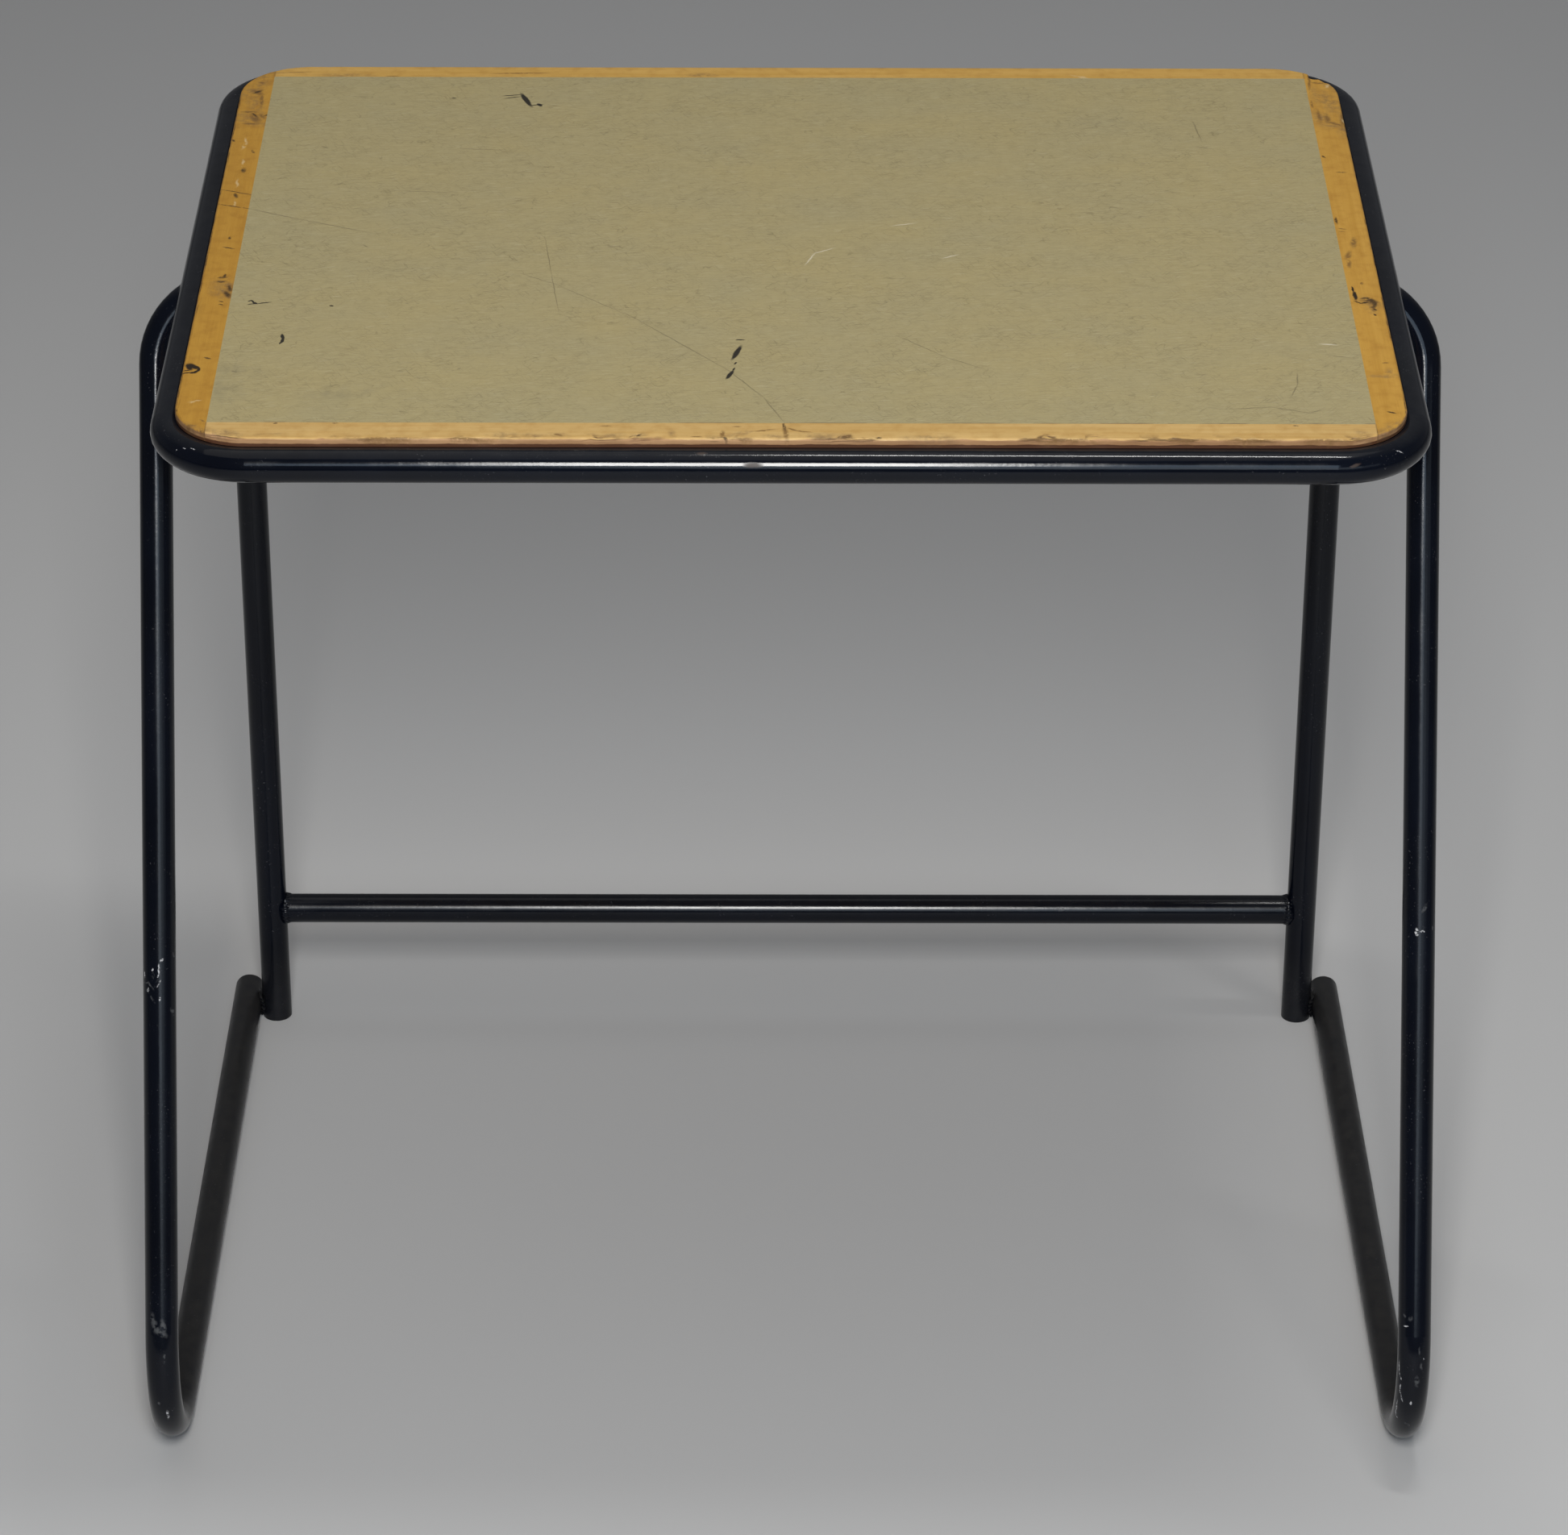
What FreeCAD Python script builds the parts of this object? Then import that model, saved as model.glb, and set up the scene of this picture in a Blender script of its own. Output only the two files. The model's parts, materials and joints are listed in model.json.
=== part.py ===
import FreeCAD, Part
import math
import os

# Stacking desk: a wooden top set into a bent steel tube ring, on raked front legs with floor runners.
# Millimetres and degrees. +Z is up, +Y is towards the back, and the user sits on the -Y side.
# The origin is on the floor, midway between the sides and midway between front and back.

# Height of the writing surface
desk_height = 660.0

# Steel tube, the same stock throughout
tube_diameter = 19.05
tube_wall = 1.6

# Ring round the top, measured on the tube's centreline, which lies a drop below the writing surface
ring_width = 678.0
ring_depth = 525.0
ring_drop = 14.0
ring_bend_radius = 46.0

# Front legs and the floor runners, one bent tube on each side
leg_offset = 24.5
leg_rake = 25.3
foot_reach = 75.0
leg_bend_radius = 45.5
leg_meet_drop = 4.6
leg_end_plug = 5.0
floor_bend_radius = 62.0
runner_overrun = 18.5
runner_gap = 0.3

# Rear legs and the stretcher between them
rear_leg_setback = 48.5
stretcher_height = 82.0

# Welded joints. A square tube end is let into the tube that it meets by the seat, and its bead
# reaches along that end, stands proud by the crown and narrows to the root.
# A front leg's shaped end stops short of the rail by the weld gap, and its bead is a hollow fillet.
weld_seat = 1.0
weld_reach = 3.2
weld_crown = 1.0
weld_root = 3.0
weld_gap = 2.0
front_weld_radius = 3.0
runner_weld_reach = 2.4

# Plugs in the open tube ends
plug_length = 12.0
plug_chamfer = 0.8
plug_clearance = 0.05

# Wooden top
board_thickness = 18.0
lip_inset = 4.5
lip_edge_radius = 1.6
ring_clearance = 0.3
side_lipping_width = 19.0
front_lipping_width = 19.0
back_lipping_width = 17.0
laminate_thickness = 1.5
tongue_depth = 6.0
tongue_thickness = 5.0
glue_gap = 0.1

# Fixing lugs under the top and their countersunk wood screws.
# A screw stands its margin inside the tongues, and leaves its cover of wood under the laminate.
lug_width = 22.0
lug_thickness = 3.0
lug_spacing = 340.0
screw_margin = 5.5
screw_cover = 4.5
screw_diameter = 4.2
screw_head_diameter = 8.2
screw_head_height = 2.3
screw_tip_length = 4.0
screw_slot_width = 1.0
screw_slot_depth = 1.0
screw_clearance = 0.1

# Closeness that counts as lying on a seam, and shares of a weld radius in the order they are tried
seam_tolerance = 1e-4
weld_radius_shares = (1.0, 0.95, 1.05, 0.9, 0.85, 0.8)

# Values worked out from the sizes above
V = FreeCAD.Vector
UP = V(0, 0, 1)
tube_radius = tube_diameter / 2
bore_radius = tube_radius - tube_wall
seat_distance = tube_radius - weld_seat
weld_stub = 2 * tube_diameter
half_width = ring_width / 2
ring_height = desk_height - ring_drop
leg_x = half_width + leg_offset
rake = math.radians(leg_rake)
leg_up = V(0, math.sin(rake), math.cos(rake))

floor_turn = math.pi / 2 + rake
floor_tangent = floor_bend_radius * math.tan(floor_turn / 2)
corner_from_ring = tube_radius * math.tan(rake) - foot_reach
front_reach = corner_from_ring + floor_tangent - floor_bend_radius - tube_radius
back_reach = ring_depth + tube_radius
ring_front = -(front_reach + back_reach) / 2
ring_back = ring_front + ring_depth
ring_middle = ring_front + ring_depth / 2
rear_leg_y = ring_back - rear_leg_setback

board_bottom = desk_height - board_thickness
core_top = desk_height - laminate_thickness
core_half_width = half_width - lip_inset - side_lipping_width
core_front = ring_front + lip_inset + front_lipping_width
core_back = ring_back - lip_inset - back_lipping_width
tongue_bottom = (board_bottom + core_top - tongue_thickness) / 2

widest_lipping = max(side_lipping_width, front_lipping_width, back_lipping_width)
screw_y = lip_inset + widest_lipping + tongue_depth + screw_margin
screw_length = lug_thickness + core_top - board_bottom - screw_cover
lug_bottom = board_bottom - lug_thickness


# Paths and tubes
def fillet(corner, towards_start, towards_end, radius):
    """Start, middle and end of the arc that rounds a corner between two unit directions."""
    half_angle = towards_start.getAngle(towards_end) / 2
    tangent = radius / math.tan(half_angle)
    bisector = (towards_start + towards_end).normalize()
    centre = corner + bisector * (radius / math.sin(half_angle))
    return corner + towards_start * tangent, centre - bisector * radius, corner + towards_end * tangent


def line(start, end):
    return Part.LineSegment(start, end).toShape()


def arc(start, middle, end):
    return Part.Arc(start, middle, end).toShape()


def sweep(path, start, direction, radius):
    """Solid rod of one radius along a smooth path."""
    disc = Part.Face(Part.Wire(Part.makeCircle(radius, start, direction)))
    return Part.Wire(path).makePipe(disc)


def rod(start, end, radius):
    return Part.makeCylinder(radius, (end - start).Length, start, end - start)


def mirrored(shape):
    return shape.mirror(V(0, 0, 0), V(1, 0, 0))


def both_sides(shape):
    return Part.makeCompound([mirrored(shape), shape])


def largest_solid(shape):
    return max(shape.Solids, key=lambda solid: solid.Volume)


def tee_weld(crossing, outward, tube, met):
    """Bead round a square tube end: outward runs along the tube from the axis of the tube that it meets."""
    end = crossing + outward * seat_distance
    crown = tube_radius + weld_crown
    fill = Part.makeCone(weld_root, crown, seat_distance, crossing, outward)
    collar = Part.makeCone(crown, tube_radius, weld_seat + weld_reach, end, outward)
    return largest_solid(fill.fuse(collar).cut(tube).cut(met))


# Top ring: one tube bent round four corners and butt welded
def ring_outline(inset):
    """Rounded rectangle of the ring's centreline, drawn in by an inset, on the floor plane."""
    right, front, back = half_width - inset, ring_front + inset, ring_back - inset
    radius = ring_bend_radius - inset
    reach = radius * (1 - math.sqrt(0.5))
    points = {}
    for x in (-1, 1):
        for y, y_in in ((front, 1), (back, -1)):
            points[x, y_in] = (V(x * right, y + y_in * radius, 0),
                               V(x * (right - reach), y + y_in * reach, 0),
                               V(x * (right - radius), y, 0))
    front_left, back_left = points[-1, 1], points[-1, -1]
    front_right, back_right = points[1, 1], points[1, -1]
    return Part.Wire([
        line(front_left[2], front_right[2]), arc(*reversed(front_right)),
        line(front_right[0], back_right[0]), arc(*back_right),
        line(back_right[2], back_left[2]), arc(*reversed(back_left)),
        line(back_left[0], front_left[0]), arc(*front_left)])


def ring_rod(radius):
    """Solid rod along the ring's centreline."""
    outline = ring_outline(0)
    outline.translate(V(0, 0, ring_height))
    first_rail = outline.Edges[0]
    return sweep(outline.Edges, first_rail.valueAt(first_rail.FirstParameter), V(1, 0, 0), radius)


def rail_rod(radius):
    """Solid rod along the right-hand side rail."""
    return rod(V(half_width, ring_front + ring_bend_radius, ring_height),
               V(half_width, ring_back - ring_bend_radius, ring_height), radius)


# Front leg and floor runner of the right-hand side
floor_corner = V(leg_x, ring_front + corner_from_ring, tube_radius)
runner_at_leg = V(half_width + tube_diameter + runner_gap, rear_leg_y, tube_radius)
runner_direction = (runner_at_leg - floor_corner).normalize()
runner_end = runner_at_leg + runner_direction * runner_overrun
leg_turn = math.acos(1 - leg_offset / leg_bend_radius)


def leg_bend_point(turn):
    """Point on the leg's upper bend, which curves in towards the side rail."""
    meet_rise = (ring_height - leg_meet_drop - floor_corner.z) / leg_up.z
    start = floor_corner + leg_up * (meet_rise - leg_bend_radius * math.sin(leg_turn))
    inward = V(-1, 0, 0) * (leg_bend_radius * (1 - math.cos(turn)))
    return start + leg_up * (leg_bend_radius * math.sin(turn)) + inward


def leg_rod(radius, turn):
    """Rod from the runner's rear end, round the floor bend and up the leg to a turn of its upper bend."""
    bend_start, bend_middle, bend_end = fillet(floor_corner, runner_direction, leg_up, floor_bend_radius)
    path = [line(runner_end, bend_start), arc(bend_start, bend_middle, bend_end),
            line(bend_end, leg_bend_point(0)),
            arc(leg_bend_point(0), leg_bend_point(turn / 2), leg_bend_point(turn))]
    return sweep(path, runner_end, runner_direction, radius)


def front_leg():
    """Tube with its upper end shaped to the rail that it meets, a weld gap away."""
    bore = leg_rod(bore_radius, leg_turn - leg_end_plug / leg_bend_radius)
    return largest_solid(leg_rod(tube_radius, leg_turn).cut(bore).cut(rail_rod(tube_radius + weld_gap)))


# Rear leg of the right-hand side under the ring, and the stretcher between the rear legs
rear_foot = V(half_width, rear_leg_y, 0)
rear_crossing = V(half_width, rear_leg_y, ring_height)
rear_top = rear_crossing - UP * seat_distance
stretcher_crossing = V(half_width, rear_leg_y, stretcher_height)
stretcher_end = stretcher_crossing - V(seat_distance, 0, 0)


def rear_leg_rod(radius):
    return rod(rear_foot, rear_top, radius)


def stretcher_rod(radius):
    return rod(V(-stretcher_end.x, stretcher_end.y, stretcher_end.z), stretcher_end, radius)


def rear_leg(ring):
    return largest_solid(rear_leg_rod(tube_radius).cut(rear_leg_rod(bore_radius)).cut(ring))


def stretcher():
    tube = stretcher_rod(tube_radius).cut(stretcher_rod(bore_radius))
    leg = rear_leg_rod(tube_radius)
    return largest_solid(tube.cut(leg).cut(mirrored(leg)))


# Weld beads of the right-hand side
def front_leg_weld():
    """Filled gap and hollow fillet, at the first share of its radius that can be rolled round the seam."""
    leg, rail = leg_rod(tube_radius, leg_turn), rail_rod(tube_radius)
    leg_end = leg.cut(rail_rod(tube_radius + weld_gap))
    seam = leg.section(rail)
    joined = leg.fuse(rail)
    corner = []
    for edge in joined.Edges:
        middle = edge.valueAt((edge.FirstParameter + edge.LastParameter) / 2)
        if Part.Vertex(middle).distToShape(seam)[0] < seam_tolerance:
            corner.append(edge)
    for share in weld_radius_shares:
        try:
            welded = joined.makeFillet(share * front_weld_radius, corner)
            bead = largest_solid(welded.cut(leg_end).cut(rail))
        except (Part.OCCError, ValueError):
            continue
        if bead.isValid():
            return bead
    raise ValueError("no weld fillet between the front leg and the side rail")


def rear_leg_weld(ring):
    return tee_weld(rear_crossing, V(0, 0, -1), rear_leg_rod(tube_radius), ring)


def stretcher_weld():
    return tee_weld(stretcher_crossing, V(-1, 0, 0), stretcher_rod(tube_radius), rear_leg_rod(tube_radius))


def runner_weld():
    """Bead in the groove between the runner and the rear leg, lying within its reach of both."""
    start = runner_at_leg - runner_direction * weld_stub
    runner, leg = rod(start, runner_end, tube_radius), rear_leg_rod(tube_radius)
    grown = tube_radius + runner_weld_reach
    near_both = rod(start, runner_end, grown).common(rear_leg_rod(grown))
    above_floor = Part.makeBox(2 * weld_stub, 2 * weld_stub, tube_diameter,
                               V(half_width - tube_diameter, rear_leg_y - weld_stub, runner_weld_reach))
    return largest_solid(near_both.common(above_floor).cut(runner).cut(leg))


# Plugs that close the open tube ends
def end_plug(end, inward):
    radius = bore_radius - plug_clearance
    body = Part.makeCylinder(radius, plug_length, end, inward)
    rims = [edge for edge in body.Edges if edge.Length > radius and len(edge.Vertexes) == 1]
    return body.makeChamfer(plug_chamfer, rims)


# Wooden top: the lipping laps over the ring and is hollowed to the tube below the lap
def ring_prism(inset, bottom, top):
    prism = Part.Face(ring_outline(inset)).extrude(V(0, 0, top - bottom))
    prism.translate(V(0, 0, bottom))
    return prism


def board_blank():
    """The whole top before it is divided: lapped edge, hollowed flank and eased upper edge."""
    blank = ring_prism(lip_inset, board_bottom, desk_height)
    upper_edges = [edge for edge in blank.Edges
                   if min(vertex.Z for vertex in edge.Vertexes) > ring_height]
    blank = blank.makeFillet(lip_edge_radius, upper_edges)
    hollow_radius = tube_radius + ring_clearance
    below = ring_height - tube_diameter
    waste = ring_prism(0, below, ring_height).cut(ring_prism(hollow_radius, below, ring_height))
    return blank.cut(waste).cut(ring_rod(hollow_radius))


def core_box(bottom, top, grow_x=0.0, grow_front=0.0, grow_back=0.0):
    return Part.makeBox(2 * (core_half_width + grow_x), core_back - core_front + grow_front + grow_back,
                        top - bottom, V(-core_half_width - grow_x, core_front - grow_front, bottom))


def tongue_slab(gap):
    """Slab that reaches one tongue into the core from all four edges."""
    outer = core_box(tongue_bottom - gap, tongue_bottom + tongue_thickness + gap)
    depth = tongue_depth + gap
    inner = core_box(tongue_bottom - gap, tongue_bottom + tongue_thickness + gap, -depth, -depth, -depth)
    return outer.cut(inner)


def side_region():
    """Everything to the right of the core, the right-hand side strip's share of the frame."""
    return Part.makeBox(ring_width, 2 * ring_depth, board_thickness,
                        V(core_half_width, ring_middle - ring_depth, board_bottom))


def lippings(blank):
    """Side strips with the rounded corners, and front and back strips set between them."""
    frame = blank.cut(core_box(board_bottom, desk_height))
    tongues = tongue_slab(0.0)
    right_tongue = tongues.common(Part.makeBox(
        tongue_depth, core_back - core_front, board_thickness,
        V(core_half_width - tongue_depth, core_front, board_bottom)))
    right = frame.common(side_region()).fuse(right_tongue).removeSplitter()
    rest = frame.cut(side_region()).cut(mirrored(side_region()))
    cross_half = core_half_width - tongue_depth - glue_gap
    cross_tongues = tongues.common(Part.makeBox(
        2 * cross_half, 2 * ring_depth, board_thickness,
        V(-cross_half, ring_middle - ring_depth, board_bottom)))
    strips = {"lipping_left": mirrored(right), "lipping_right": right}
    for solid in rest.Solids:
        in_front = solid.CenterOfMass.y < ring_middle
        mine = [piece for piece in cross_tongues.Solids if (piece.CenterOfMass.y < ring_middle) == in_front]
        strips["lipping_front" if in_front else "lipping_back"] = solid.fuse(mine[0]).removeSplitter()
    return strips


def laminate():
    return core_box(core_top, desk_height)


# Fixing lugs and screws, drawn for a rail along X whose inside is towards +Y
def fixing_places():
    """Turn about +Z and place of each lug, on the centreline of the rail that carries it."""
    places = []
    for x in (-lug_spacing / 2, lug_spacing / 2):
        places.append((0, V(x, ring_front, 0)))
        places.append((180, V(x, ring_back, 0)))
    places.append((90, V(half_width, ring_middle, 0)))
    places.append((-90, V(-half_width, ring_middle, 0)))
    return places


def at_fixings(shape):
    copies = []
    for turn, place in fixing_places():
        copy = shape.copy()
        copy.rotate(V(0, 0, 0), UP, turn)
        copy.translate(place)
        copies.append(copy)
    return Part.makeCompound(copies)


def countersink(clearance):
    """Cone of a screw head, with its wide end level with the lug's underside."""
    return Part.makeCone(screw_head_diameter / 2 + clearance, screw_diameter / 2 + clearance,
                         screw_head_height, V(0, screw_y, lug_bottom))


def lug():
    """Strip from the rail to the screw, with a round end, cut to fit against the rail."""
    plate = Part.makeBox(lug_width, screw_y, lug_thickness, V(-lug_width / 2, 0, lug_bottom))
    plate = plate.fuse(Part.makeCylinder(lug_width / 2, lug_thickness, V(0, screw_y, lug_bottom)))
    hole = Part.makeCylinder(screw_diameter / 2 + screw_clearance, lug_thickness, V(0, screw_y, lug_bottom))
    rail = rod(V(-lug_width, 0, ring_height), V(lug_width, 0, ring_height), tube_radius)
    return largest_solid(plate.removeSplitter().cut(hole).cut(countersink(screw_clearance)).cut(rail))


def screw():
    shank_length = screw_length - screw_head_height - screw_tip_length
    shank_start = V(0, screw_y, lug_bottom + screw_head_height)
    shank = Part.makeCylinder(screw_diameter / 2, shank_length, shank_start)
    tip = Part.makeCone(screw_diameter / 2, 0, screw_tip_length, shank_start + UP * shank_length)
    slot = Part.makeBox(2 * screw_head_diameter, screw_slot_width, screw_slot_depth,
                        V(-screw_head_diameter, screw_y - screw_slot_width / 2, lug_bottom))
    return countersink(0.0).fuse(shank).fuse(tip).removeSplitter().cut(slot)


def pilot_hole():
    depth = screw_length - lug_thickness + screw_clearance
    return Part.makeCylinder(screw_diameter / 2 + screw_clearance, depth, V(0, screw_y, board_bottom))


def core():
    panel = core_box(board_bottom, core_top)
    return largest_solid(panel.cut(tongue_slab(glue_gap)).cut(at_fixings(pilot_hole())))


# Assembly: one file for each piece or group of like pieces
ring_solid = ring_rod(tube_radius)
right_leg = front_leg()
right_rear_leg = rear_leg(ring_solid)
nodes = {
    "top_ring": largest_solid(ring_solid.cut(ring_rod(bore_radius))),
    "front_leg_left": mirrored(right_leg),
    "front_leg_right": right_leg,
    "rear_leg_left": mirrored(right_rear_leg),
    "rear_leg_right": right_rear_leg,
    "stretcher": stretcher(),
    "front_leg_welds": both_sides(front_leg_weld()),
    "rear_leg_welds": both_sides(rear_leg_weld(ring_solid)),
    "stretcher_welds": both_sides(stretcher_weld()),
    "runner_welds": both_sides(runner_weld()),
    "rear_leg_plugs": both_sides(end_plug(rear_foot, UP)),
    "runner_plugs": both_sides(end_plug(runner_end, runner_direction * -1)),
    "board_core": core(),
    "laminate_sheet": laminate(),
    "fixing_lugs": at_fixings(lug()),
    "fixing_screws": at_fixings(screw()),
}
nodes.update(lippings(board_blank()))

os.makedirs("parts", exist_ok=True)
for name, shape in nodes.items():
    shape.exportStep("parts/" + name + ".step")
    state = "valid" if shape.isValid() else "invalid"
    print(name, len(shape.Solids), "solids", round(shape.Volume, 1), "mm3", state)
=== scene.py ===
import json
import math

import bmesh
import bpy
from mathutils import Euler, Matrix, Vector, noise


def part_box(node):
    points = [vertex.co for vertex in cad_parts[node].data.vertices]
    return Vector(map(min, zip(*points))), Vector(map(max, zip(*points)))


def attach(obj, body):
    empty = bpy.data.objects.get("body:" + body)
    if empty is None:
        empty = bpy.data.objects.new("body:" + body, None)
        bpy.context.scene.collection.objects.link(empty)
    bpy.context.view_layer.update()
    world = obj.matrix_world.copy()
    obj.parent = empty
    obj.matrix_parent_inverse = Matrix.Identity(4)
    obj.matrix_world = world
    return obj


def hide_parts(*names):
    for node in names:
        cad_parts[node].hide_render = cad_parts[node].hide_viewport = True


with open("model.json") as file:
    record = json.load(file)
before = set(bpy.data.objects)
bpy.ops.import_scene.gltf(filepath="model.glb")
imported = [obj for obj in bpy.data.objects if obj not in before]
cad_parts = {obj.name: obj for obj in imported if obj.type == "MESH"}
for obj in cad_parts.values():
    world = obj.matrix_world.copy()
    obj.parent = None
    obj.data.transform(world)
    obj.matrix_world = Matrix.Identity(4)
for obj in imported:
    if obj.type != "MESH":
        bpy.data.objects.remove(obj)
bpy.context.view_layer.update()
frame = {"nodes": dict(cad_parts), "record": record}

mm = 0.001

# Camera: it stands in front of the desk and looks down on it. Its focal length is in pixels of the image
image_width = 1945
focal_pixels = 7041.4
sensor_width = 36.0
camera_place = Vector((-0.0100, -2.9761, 2.0112))
camera_pitch = math.radians(29.6015)
camera_yaw = math.radians(-0.1389)
camera_roll = math.radians(0.1688)

# Plain studio: the light from all round, and the floor
surround_colour = (0.80, 0.82, 0.86, 1)
surround_strength = 0.15
floor_width = 60
floor_grey = (0.50, 0.50, 0.50, 1)
floor_roughness = 0.6

# Soft panels of light: place, point that it faces, width and height in metres, watts and tint
light_panels = {
    "overhead": ((-0.2, 0.1, 3.2), (0, 0, 0.3), (3.0, 2.6), 13, (1, 0.97, 0.93)),
    "front_strip": ((-0.03, -2.88, 2.49), (0, -0.2, 0.6), (0.55, 1.06), 92, (1, 0.98, 0.95)),
    "front_glow": ((0.2, -3.1, 2.2), (0, -0.2, 0.6), (1.6, 0.9), 15, (0.60, 0.78, 1)),
    "ceiling_strip": ((0.36, 0.02, 2.9), (0.3, -0.1, 0.6), (0.85, 0.1), 17, (1, 0.99, 0.97)),
    "front_fill_0": ((0.4, -4.2, 1.75), (0, 0, 0.3), (1.3, 0.9), 6, (0.74, 0.87, 1)),
    "front_fill_1": ((1.1, -4.2, 1.75), (0, 0, 0.3), (3.0, 0.9), 7, (0.74, 0.87, 1)),
    "front_fill_2": ((1.9, -4.2, 1.75), (0, 0, 0.3), (5.0, 0.9), 8, (0.74, 0.87, 1)),
}

# Edges of the laminate sheet and of the whole top, read from the frame
sheet_low, sheet_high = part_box("laminate_sheet")
top_low = Vector((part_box("lipping_left")[0][0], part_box("lipping_front")[0][1]))
top_high = Vector((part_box("lipping_right")[1][0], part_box("lipping_back")[1][1]))
top_height = sheet_high[2]

# Radius of the top's rounded corners
corner_radius = 41.5 * mm

# Wear of the lipping's upper outer edge: how far it reaches, the cuts that give it vertices, and its chips
worn_depth = 4.5 * mm
worn_reach = 8 * mm
wear_step = 4 * mm
lengthwise_cuts = (0.12, 0.18, 0.3, 0.4, 0.5, 0.6, 0.7)
even_wear = 0.25 * mm
chip_wear = 0.9 * mm
fine_wear_to_metre = 260
chips_to_metre = 70
chip_raggedness = 0.3
chip_starts = 0.25
chip_full = 0.6
wear_downwards = 0.5

# Wood broken away above the back right bend: centres in metres, reach and depth
broken_strip = "lipping_right"
broken_places = (
    ((0.3232, 0.2620), 6.5 * mm, 4.6 * mm),
    ((0.3285, 0.2560), 6.0 * mm, 1.6 * mm),
)
broken_step = 1.2 * mm
broken_full = 0.4
broken_raggedness = 0.35
splinters_to_metre = 300

# Weld beads: the faces that they are made of, their smoothing, ripples and lumps
weld_face_size = 0.5 * mm
weld_smoothing = 3
weld_smoothing_share = 0.5
weld_ripple = 0.22 * mm
weld_lump = 0.45 * mm
weld_lumps_to_metre = 260
ripple_wander = 1.5
ripples_round_tube = 22
runner_ripple = 2.6 * mm
stretcher_middle = sum((Vector(corner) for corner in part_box("stretcher")), Vector()) / 2
rear_leg_middle = sum((Vector(corner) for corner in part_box("rear_leg_right")), Vector()) / 2

# Joining and shading of the meshes that are made here
join_distance = 0.001 * mm
flat_angle = math.radians(0.5)
sharp_angle = math.radians(35)

# Patterns: how a seed moves a noise, the depth of a stroke on the top, and the full part of a winding line
seed_shift = (1.7, 2.3, 0.9)
stroke_depth = 4 * mm
contour_core = 0.3

# Fibre lines of the laminate: their size, the noise at which they start and are full, and their angles
fibre_length = 11 * mm
fibre_width = 0.65 * mm
fibre_starts = 0.62
fibre_full = 0.72
fibre_angles = (0.05, 0.38, -0.30, 0.9, -1.1)
pale_fibre_angle = 0.2

# Depths below the top at which the lipping's outer face is worn and cracked, and below which its foot is
# painted dark as the shade in the gap over the tube
worn_line_low = 1.0 * mm
worn_line_high = 0.2 * mm
worn_rim = 0.5 * mm
cracks_low = 3.0 * mm
cracks_high = 0.8 * mm
cracks_end = 0.2 * mm
shade_line_low = 3.6 * mm
shade_line_high = 2.9 * mm
shade_rim = 0.4 * mm

# Dark lines at the laminate's front edge and the strips' joints: where they are full and where they end
front_dirt_full = 0.4 * mm
front_dirt_end = 1.3 * mm
joint_line_full = 0.2 * mm
joint_line_end = 0.6 * mm

# Heights between which the paint goes from dull on the legs to polished by hands round the top
dull_to = 500 * mm
polished_from = 600 * mm

# Heights between which the dust of the floor thins out on the runners
floor_dust_from = 22 * mm
floor_dust_to = 55 * mm

# Colours of the laminate, as linear red, green and blue
olive = (0.341, 0.291, 0.156)
warm_olive = (0.361, 0.298, 0.146)
streak_brown = (0.25, 0.205, 0.100)
cross_streak_brown = (0.26, 0.215, 0.108)
fibre_brown = (0.125, 0.098, 0.048)
curl_brown = (0.110, 0.088, 0.042)
fibre_cream = (0.60, 0.55, 0.38)
smudge_grey = (0.190, 0.165, 0.098)
hairline_brown = (0.090, 0.072, 0.040)
nick_cream = (0.60, 0.54, 0.41)
laminate_ink = (0.012, 0.010, 0.008)
front_dirt_brown = (0.135, 0.090, 0.045)

# Colours of wear and marks on the lipping, and of the painted shade at the foot of its outer face
worn_pale = (0.38, 0.215, 0.108)
worn_dark = (0.27, 0.140, 0.066)
crack_brown = (0.075, 0.034, 0.014)
# Painted shade: the dark brown of the gap between the lipping's foot and the tube
painted_shade_brown = (0.062, 0.020, 0.007)
stain_brown = (0.145, 0.095, 0.050)
tan_brown = (0.160, 0.084, 0.024)
chip_cream = (0.60, 0.46, 0.245)
dent_brown = (0.055, 0.030, 0.010)
wood_ink = (0.010, 0.007, 0.005)
joint_brown = (0.12, 0.065, 0.025)

# Colours of the paint, its dust, its damage and its painted highlights
paint_dark = (0.0012, 0.0019, 0.0044)
paint_pale = (0.0020, 0.0031, 0.0068)
dust_grey = (0.034, 0.034, 0.033)
floor_dust_grey = (0.036, 0.034, 0.031)
speck_grey = (0.12, 0.12, 0.125)
scuff_grey = (0.080, 0.083, 0.087)
paint_rust = (0.040, 0.026, 0.020)
# Bare metal of the chips, also the colour of the painted highlights on the ring's front bends
bare_metal_and_glint = (0.42, 0.42, 0.43)

# Colours of the plywood, the rubber plugs and the screws
ply_pale = (0.52, 0.355, 0.190)
ply_dark = (0.36, 0.215, 0.095)
ply_pore = (0.20, 0.110, 0.045)
ply_dirt = (0.30, 0.190, 0.095)
rubber_black = (0.014, 0.014, 0.015)
rubber_grey = (0.040, 0.039, 0.038)
rubber_scrape = (0.13, 0.125, 0.115)
zinc_dark = (0.42, 0.41, 0.39)
zinc_pale = (0.56, 0.55, 0.53)
screw_rust = (0.155, 0.062, 0.022)

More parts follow.
